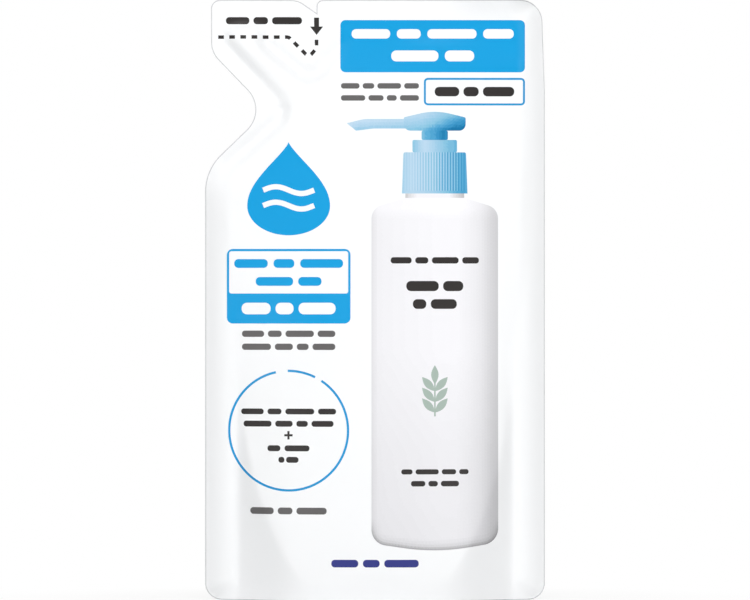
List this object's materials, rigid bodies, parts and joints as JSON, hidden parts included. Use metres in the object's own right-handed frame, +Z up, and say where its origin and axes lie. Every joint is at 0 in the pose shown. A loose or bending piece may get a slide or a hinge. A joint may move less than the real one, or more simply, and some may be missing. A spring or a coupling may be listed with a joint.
{
  "type": "hand soap refill pouch",
  "caption": "Filled stand-up refill pouch for liquid hand soap, with a folded bottom, a cut-in neck, a tear-off spout tab and a plain printed front.",
  "frame": {"origin": "under the middle of the pouch, on the surface that it stands on", "axes": "+Z up along the pouch's height, +X to the right of the printed front, +Y from the printed front to the back"},
  "size_m": [0.11, 0.042, 0.194],
  "materials": {
    "film": "satin white laminate film with printed fields of blue, near-black and grey"
  },
  "bodies": {
    "root": {"refill_pouch": "film"}
  },
  "joints": []
}
